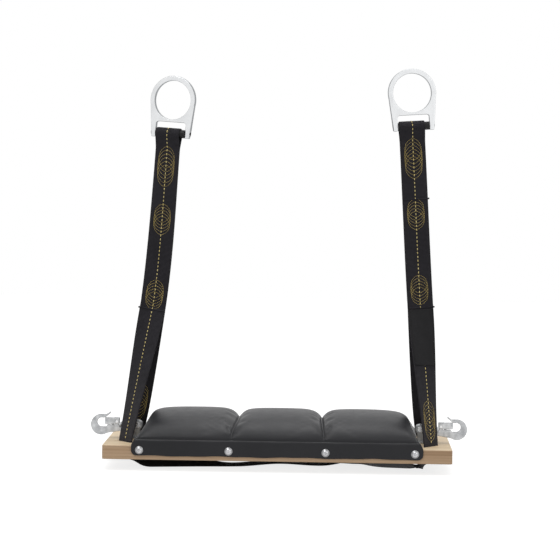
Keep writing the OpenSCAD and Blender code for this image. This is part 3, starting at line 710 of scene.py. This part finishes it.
# Stretches of each half run in which a strap turns level and goes to its depth at the crossing
LOWER_LEVEL = RUN_L / 2 - 0.075
LOWER_FLAT = (RUN_L / 2 - 0.165, LOWER_LEVEL)
LOWER_RISE = (LOWER_LEVEL, RUN_L / 2)
CROSS_HALF = WEB_W / 2 * RUN_L / (2 * SLOT_Y)
UPPER_FLAT = (0.080, RUN_L / 2 - CROSS_HALF - 0.006)


def share(r, stretch):
    """How much of a stretch of the run lies behind r."""
    return ease((r - stretch[0]) / (stretch[1] - stretch[0]))


def under_line(side, mid_depth, flat, rise):
    """Middle line and acrosses of the strap from one front slot to the opposite rear slot."""
    start, finish = slot_place(side, FRONT), slot_place(-side, REAR)
    along = unit(finish - start)
    in_slot = np.array([math.cos(SLOT_TURN), side * math.sin(SLOT_TURN), 0])
    in_run = np.cross([0, 0, 1], along) * side
    r = np.concatenate([[TURN_START + 0.001, 0.009, 0.014], np.linspace(0.02, LOBE_START, 12),
                        np.linspace(LOBE_START + 0.005, RUN_L / 2, 60)])
    sunk = share(r, (TURN_START, LOBE_START))
    tilt = TILT * sunk * (1 - share(r, flat))
    lobe_depth = BOARD_BOTTOM - WEB_W / 2 * np.sin(tilt) - WEB_T / 2 * np.cos(tilt)
    depth = mix(BEND_DEPTH, mix(lobe_depth, mid_depth, share(r, rise)), sunk)
    first = np.array([[RISER_IN, BOARD_TOP - PART_DEPTH], [RISER_IN, BOARD_BOTTOM + 0.003],
                      [RISER_IN + 0.0002, BOARD_BOTTOM], [RISER_IN + 0.001, BOARD_BOTTOM - BEND_DEPTH / 2]])
    half = np.concatenate([first, np.stack([r, BOARD_BOTTOM - depth], axis=1)])
    there = start + half[:, :1] * along + half[:, 1:] * [0, 0, 1]
    back = (finish - half[:, :1] * along + half[:, 1:] * [0, 0, 1])[-2::-1]
    tilt = np.concatenate([np.zeros(len(first)), tilt])[:, None]
    level = np.cos(tilt) * unit(mix(in_slot, in_run, ease(half[:, :1] / LOBE_START)))
    lean = side * np.sin(tilt) * [0, 0, 1]
    return np.concatenate([there, back]), np.concatenate([level + lean, (level - lean)[-2::-1]])


def make_under_strap(name, side, mid_depth, flat, rise, webbing):
    ribbon = Ribbon(*under_line(side, mid_depth, flat, rise), soften=1)
    build = Build()
    add_strap(build, ribbon)
    piece = build.piece(name + "_webbing", webbing)
    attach(piece, "seat")
    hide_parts(name)


# Pad

SIDE_POWER = 12
CROWN_POWER = 22
DRAW_POWER = 16
CHANNEL_POWER = 1.3
# How deep a channel is at the foot of the crown, as a share of its depth on top
CHANNEL_FOOT = 0.45


def steep(t):
    """A side that rises steeply from nothing at -1 and 1 and is level between."""
    return np.sqrt(np.clip(1 - np.abs(t) ** SIDE_POWER, 0, 1))


def off_channel(x, y):
    """Distance from the nearer sewn channel, which runs out towards its screws at both ends."""
    middle = np.where(x < 0, LEFT_CHANNEL_X, RIGHT_CHANNEL_X)
    return np.abs(x) - mix(middle, CHANNEL_FRONT_X, (y / PAD_HALF_D) ** 2)


def channel(x, y):
    """Share of its full depth that a sewn channel has at a place."""
    return np.exp(-((np.abs(off_channel(x, y)) / CHANNEL_R) ** CHANNEL_POWER))


def pad_height(x, y):
    """Height of the pad above the board, before its seams."""
    u = y / PAD_HALF_D
    side = steep(x / PAD_HALF_W) * steep(u)
    crown = np.clip(1 - np.abs(x / (PAD_HALF_W - CROWN_INSET)) ** CROWN_POWER, 0, 1) * (1 - u * u)
    sewn = CHANNEL_DEPTH * channel(x, y) * side * mix(CHANNEL_FOOT, 1, crown)
    return PAD_SIDE_H * side + PAD_CROWN_H * crown - sewn


def spread(low, high, count):
    """Values that crowd towards both ends."""
    return (low + high) / 2 - (high - low) / 2 * np.cos(np.linspace(0, math.pi, count))


SEAM_H = 0.011
FLAP_SLANT = 0.0055
PANEL_IN = 0.009
# How deep a seam lies, and how wide the sewn channels, the end panels' seams and the crease are
SEAM_DEPTH = 0.0016
STITCH_R = 0.0022
PANEL_R = 0.0013
CREASE_R = 0.0014
# Seams fade out where the skin comes down to this height
SEAM_FADE_H = 0.02
# Puckers: their height, how far from a channel they lie and spread, and their waves a metre
PUCKER_H = 0.00045
PUCKER_OFF = 0.009
PUCKER_WAVES = 260
PUCKER_DRIFT = (41, 9)
# Share of the pad's half depth past which its crease shows
CREASE_FROM = 0.8
# Cloth: how far a seam holds it, the foam's pressure, its stiffness and the most that a point moves
HELD = 0.004
PRESSURE = 14
STIFFNESS = 25
CLOTH_STEPS = 20
MOST_SWELL = 0.004


def pad_grid(lobe_count, middle_count, depth_count):
    """Places in plan, crowded towards the pad's edges and its sewn channels."""
    lobe = spread(CHANNEL_FRONT_X, PAD_HALF_W, lobe_count)
    middle = spread(-CHANNEL_FRONT_X, CHANNEL_FRONT_X, middle_count)[1:-1]
    return np.concatenate([-lobe[::-1], middle, lobe]), spread(-PAD_HALF_D, PAD_HALF_D, depth_count)


def pad_points(xs, ys):
    """Points of the pad's skin, with its sewn channels, its seams and puckers along them."""
    x, y = np.meshgrid(xs, ys, indexing="ij")
    z = np.clip(pad_height(x, y), 0, None)
    near = off_channel(x, y)
    stitch = np.exp(-((near / STITCH_R) ** 2)) * steep(y / PAD_HALF_D)
    panel = np.exp(-(((np.abs(x) - PAD_HALF_W + PANEL_IN) / PANEL_R) ** 2))
    drift = 3 * np.sin(y * PUCKER_DRIFT[0] + x * PUCKER_DRIFT[1])
    beside = np.exp(-((np.abs(near) - PUCKER_OFF) / PUCKER_OFF) ** 2)
    pucker = np.sin(y * PUCKER_WAVES + drift) * beside
    inside = np.clip(z / SEAM_FADE_H, 0, 1)
    z = z - inside * (SEAM_DEPTH * stitch + SEAM_DEPTH * panel - PUCKER_H * pucker)
    draw = np.where(x < 0, PAD_DRAW[-1], PAD_DRAW[1]) * (1 - (y / PAD_HALF_D) ** 2)
    draw = draw * np.abs(x / PAD_HALF_W) ** DRAW_POWER
    pinch = CHANNEL_DRAW * channel(x, y) * steep(x / PAD_HALF_W)
    rim = np.clip((np.abs(y) / PAD_HALF_D - CREASE_FROM) / (1 - CREASE_FROM), 0, 1)
    crease = SEAM_DEPTH * np.exp(-(((z - SEAM_H) / CREASE_R) ** 2)) * rim
    return np.stack([x - np.sign(x) * draw, y - np.sign(y) * (pinch + crease), BOARD_TOP + z], axis=-1)


def swell(xs, ys):
    """How far each point of the skin moves when cloth held at its seams takes the foam's pressure."""
    rest = pad_points(xs, ys)
    build = Build()
    build.rings(rest, caps=False, around=False)
    skin = build.piece("skin")
    x, y = np.meshgrid(xs, ys, indexing="ij")
    sewn = np.abs(off_channel(x, y)) < HELD
    sewn |= np.abs(np.abs(x) - PAD_HALF_W + PANEL_IN) < HELD / 2
    sewn |= rest[..., 2] - BOARD_TOP < SEAM_H + HELD
    skin.vertex_groups.new(name="sewn").add(np.flatnonzero(sewn).tolist(), 1.0, "REPLACE")
    cloth = skin.modifiers.new("cloth", "CLOTH").settings
    cloth.vertex_group_mass = "sewn"
    cloth.effector_weights.gravity = 0
    cloth.use_pressure = True
    cloth.uniform_pressure_force = PRESSURE
    cloth.tension_stiffness = cloth.compression_stiffness = STIFFNESS
    scene = bpy.context.scene
    for step in range(1, CLOTH_STEPS + 1):
        scene.frame_set(step)
    swollen = skin.evaluated_get(bpy.context.evaluated_depsgraph_get()).data
    moved = np.zeros(rest.size, np.float32)
    swollen.vertices.foreach_get("co", moved)
    move = moved.reshape(rest.shape) - rest
    bpy.data.objects.remove(skin)
    scene.frame_set(1)
    size = np.linalg.norm(move, axis=-1, keepdims=True)
    return move * np.minimum(1, MOST_SWELL / np.maximum(size, 1e-9))


def between(xs, ys, values, at_x, at_y):
    """Values on one grid, read at the places of another."""
    rows, columns = range(len(ys)), range(len(at_x))
    part = np.stack([[np.interp(at_x, xs, values[:, j, k]) for j in rows] for k in range(3)], axis=-1)
    return np.stack([[np.interp(at_y, ys, part[:, i, k]) for i in columns] for k in range(3)], axis=-1)


def make_pad(vinyl):
    coarse, fine = pad_grid(28, 26, 36), pad_grid(100, 80, 110)
    top = pad_points(*fine) + between(*coarse, swell(*coarse), *fine)
    base = top.copy()
    base[..., 2] = BOARD_TOP
    build = Build()
    build.rings(np.concatenate([top, base[:, -2:0:-1]], axis=1), caps=False)
    piece = build.piece("seat_pad", vinyl)
    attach(piece, "seat")
    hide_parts("pad_cover", "seat_foam")


def flap_low(x):
    """Height of a flap's lower edge: round at the ends, and a little wavy between the screws."""
    over = np.clip(np.abs(x) - (PAD_HALF_W - FLAP_CORNER_R), 0, FLAP_CORNER_R)
    corner = FLAP_CORNER_R - np.sqrt(np.clip(FLAP_CORNER_R**2 - over**2, 0, None))
    wavy = 0.0005 * np.sin(x * 48) + 0.0003 * np.sin(x * 117 + 1)
    return -FLAP_DROP + corner + wavy


# A flap: its finely divided ends, how far a screw holds it flat, its swell, and its tucked edges
FLAP_END = 0.03
HOLD_R = 0.016
FLAP_SWELL = 0.0014
CREASE_TUCK = 0.0016
EDGE_TUCK = 0.0008
# How far inside the pad and how far off the board a flap's back lies
BACK_IN = 0.004
BACK_GAP = 0.0001


def make_flap(name, end, vinyl):
    """A flap of the cover from the pad's crease down, flat round its screws and slack between them."""
    ends = spread(0, FLAP_END, 14)[:-1]
    middle = np.linspace(FLAP_END - PAD_HALF_W, PAD_HALF_W - FLAP_END, 180)
    xs = np.concatenate([ends - PAD_HALF_W, middle, PAD_HALF_W - ends[::-1]])
    v = np.concatenate([[0, 0.02, 0.05, 0.1], np.linspace(0.16, 0.94, 18), [0.98, 1.0]])
    x, down = np.meshgrid(xs, v, indexing="ij")
    z = mix(SEAM_H, flap_low(x), down)
    x = x * (1 - FLAP_SLANT * np.clip(z / SEAM_H, 0, 1) ** 1.3 / PAD_HALF_W)
    loose = np.ones_like(x)
    for screw in SCREW_XS:
        off = np.hypot(x - screw, z + SCREW_DROP)
        loose = loose * (1 - np.exp(-((off / HOLD_R) ** 4)))
    slack = 0.7 + 0.3 * np.sin(x * 61 + 2) + 0.15 * np.sin(x * 143)
    bulge = FLAP_SWELL * loose * slack * np.sin(math.pi * np.clip(down * 1.02, 0, 1)) ** 0.8
    tuck = CREASE_TUCK * np.clip(1 - down / 0.12, 0, 1) ** 2
    tuck = tuck + EDGE_TUCK * np.clip((down - 0.95) / 0.05, 0, 1)
    under = np.where(z > 0, BOARD_HALF_D - BACK_IN, BOARD_HALF_D + BACK_GAP)
    outer = np.stack([x, end * (PAD_HALF_D + bulge - tuck), BOARD_TOP + z], axis=-1)
    inner = np.stack([x, end * under, BOARD_TOP + z], axis=-1)
    build = Build()
    build.rings(np.concatenate([outer, inner[:, ::-1]], axis=1))
    piece = build.piece(name + "_skin", vinyl)
    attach(piece, "seat")
    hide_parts(name)


# Hard parts: the CAD solids with rounded edges

WELD_GAP = 0.00001
FLAT_ANGLE = math.radians(0.5)
EDGE_ANGLE = math.radians(35)


def finish_solid(name, material, edge, segments=2, clamp=False):
    """Give a CAD solid its material and rounded edges, after joining its flat faces."""
    solid = nodes[name]
    solid.data.materials.clear()
    solid.data.materials.append(material)
    weld = solid.modifiers.new("weld", "WELD")
    weld.merge_threshold = WELD_GAP
    join = solid.modifiers.new("flat", "DECIMATE")
    join.decimate_type = "DISSOLVE"
    join.angle_limit = FLAT_ANGLE
    bevel = solid.modifiers.new("edges", "BEVEL")
    bevel.width = edge
    bevel.segments = segments
    bevel.limit_method = "ANGLE"
    bevel.angle_limit = EDGE_ANGLE
    bevel.harden_normals = True
    bevel.use_clamp_overlap = clamp
    solid.modifiers.new("shading", "WEIGHTED_NORMAL").keep_sharp = True


# The gate spring's middle line, as distance from the seat's middle and height, and its section
LEAF_LINE = ((0.2897, 0.0669), (0.2930, 0.0669), (0.3000, 0.0772))
LEAF_W = 0.0054
LEAF_T = 0.0006


def make_gate_leaf(name, steel):
    """A gate's leaf spring, in the shape it has under the closed gate."""
    corners = np.array([[SIDES[name] * x, 0, z] for x, z in LEAF_LINE])
    ribbon = Ribbon(corners, np.tile([0.0, 1.0, 0.0], (len(corners), 1)), step=0.0006, soften=3)
    build = Build()
    add_strap(build, ribbon, LEAF_W, LEAF_T)
    piece = build.piece(name + "_gate_leaf", steel)
    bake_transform(piece)
    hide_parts(name + "_gate_spring")


def finish_solids():
    # The zinc's rim colour is painted shade: dark outlines along the hooks' rounded edges.
    zinc = metal_material("zinc", (0.34, 0.35, 0.36), (0.62, 0.63, 0.64), (0.26, 0.40), 120.0, 0.06,
                          rim=(0.11, 0.11, 0.115), edge=0.0012)
    bright = metal_material("plate", (0.62, 0.62, 0.63), (0.78, 0.78, 0.78), (0.16, 0.30), 90.0, 0.04)
    head = metal_material("head", (0.42, 0.42, 0.43), (0.58, 0.58, 0.59), (0.20, 0.32), 150.0, 0.05)
    cup = metal_material("cup", (0.22, 0.22, 0.225), (0.34, 0.34, 0.345), (0.24, 0.36), 150.0, 0.05)
    finish_solid("seat_board", plywood_material(), 0.0009)
    for end in ("front", "rear"):
        finish_solid(end + "_screws", head, 0.0002)
        finish_solid(end + "_washers", cup, 0.0003)
    finish_solid("bracket_screws", bright, 0.0002)
    sleeve = sleeve_material()
    for name in SIDES:
        plate = mounts[name + "_ring_eye"]["axis"]
        # The rings' darker sides: partly duller sawn metal, partly painted shade outlining the faces.
        alloy = metal_material(name + "_alloy", (0.72, 0.73, 0.74), (0.80, 0.81, 0.82), (0.28, 0.42), 45.0,
                               0.04, plate=plate, rim=(0.30, 0.31, 0.32))
        finish_solid(name + "_ring", alloy, 0.0012, 3)
        finish_solid(name + "_ring_pin", bright, 0.0004)
        finish_solid(name + "_sleeve", sleeve, 0.0005)
        finish_solid(name + "_hook", zinc, 0.0008, clamp=True)
        finish_solid(name + "_hook_eye", zinc, 0.0009, 3)
        finish_solid(name + "_hook_bracket", zinc, 0.0005)
        finish_solid(name + "_hook_pin", bright, 0.0004)
        finish_solid(name + "_gate", zinc, 0.00035)
        finish_solid(name + "_gate_rivet", bright, 0.0003)
        make_gate_leaf(name, bright)


# Stage

# What the camera, and metal or glass, sees of the floor and of the world round it
SEEN_RAYS = ("Is Camera Ray", "Is Glossy Ray", "Is Transmission Ray")
FLOOR_SIZE = 12
FLOOR_DROP = 0.0004
FLOOR_GREY = 0.32
FLOOR_GLOW = 0.80
WORLD_LIGHT = 0.54
WORLD_SEEN = 1.0
WHITE = (1, 1, 1, 1)
# Lamps: place, size and power
LAMPS = {
    "key": ((-0.9, -1.3, 2.7), 1.4, 22),
    "top": ((0.2, 0.4, 2.6), 1.8, 26),
    "fill": ((1.9, -1.6, 1.2), 1.4, 5),
}
LAMP_AIM = np.array([0, 0, 0.25])


def seen_ray(tree):
    """1 where a ray of one of the seen kinds asks, and 0 elsewhere."""
    ray = tree.nodes.new("ShaderNodeLightPath")
    seen = ray.outputs[SEEN_RAYS[0]]
    for kind in SEEN_RAYS[1:]:
        either = tree.nodes.new("ShaderNodeMath")
        either.operation = "MAXIMUM"
        tree.links.new(seen, either.inputs[0])
        tree.links.new(ray.outputs[kind], either.inputs[1])
        seen = either.outputs[0]
    return seen


def make_floor():
    bpy.ops.mesh.primitive_plane_add(size=FLOOR_SIZE, location=(0, 0, -FLOOR_DROP))
    floor = bpy.context.object
    floor.name = "floor"
    n = Nodes("floor")
    n.set(
        Base_Color=(FLOOR_GREY, FLOOR_GREY, FLOOR_GREY, 1),
        Roughness=0.9,
        Emission_Color=WHITE,
        Emission_Strength=n.math("MULTIPLY", seen_ray(n.tree), FLOOR_GLOW),
    )
    floor.data.materials.append(n.material)


def make_world():
    world = bpy.data.worlds.new("studio")
    world.use_nodes = True
    bpy.context.scene.world = world
    tree = world.node_tree
    level = tree.nodes.new("ShaderNodeMapRange")
    level.inputs["To Min"].default_value = WORLD_LIGHT
    level.inputs["To Max"].default_value = WORLD_SEEN
    tree.links.new(seen_ray(tree), level.inputs["Value"])
    background = tree.nodes["Background"]
    tree.links.new(level.outputs[0], background.inputs["Strength"])
    background.inputs["Color"].default_value = WHITE


def make_lamps():
    for name, (place, size, power) in LAMPS.items():
        data = bpy.data.lights.new(name, "AREA")
        data.size = size
        data.energy = power
        back = unit(np.array(place) - LAMP_AIM)
        right = unit(np.cross([0, 0, 1], back))
        put(bpy.data.objects.new(name, data), right, np.cross(back, right), back, place)


make_camera()
make_floor()
make_world()
make_lamps()
finish_solids()
webbing = webbing_material()
thread = thread_material("thread", (0.74, 0.57, 0.18), (0.97, 0.82, 0.38))
fine_thread = thread_material("fine_thread", (0.54, 0.40, 0.10), (0.78, 0.60, 0.22))
vinyl = vinyl_material()
make_pad(vinyl)
make_flap("front_flap", FRONT, vinyl)
make_flap("rear_flap", REAR, vinyl)
make_under_strap("under_strap_a", SIDES["left"], LOWER_DEPTH, LOWER_FLAT, LOWER_RISE, webbing)
make_under_strap("under_strap_b", SIDES["right"], UPPER_DEPTH, UPPER_FLAT, UPPER_FLAT, webbing)
make_hanger("left", webbing, thread, fine_thread)
make_label(make_hanger("right", webbing, thread, fine_thread), label_material())

bpy.context.scene.view_settings.view_transform = "Standard"
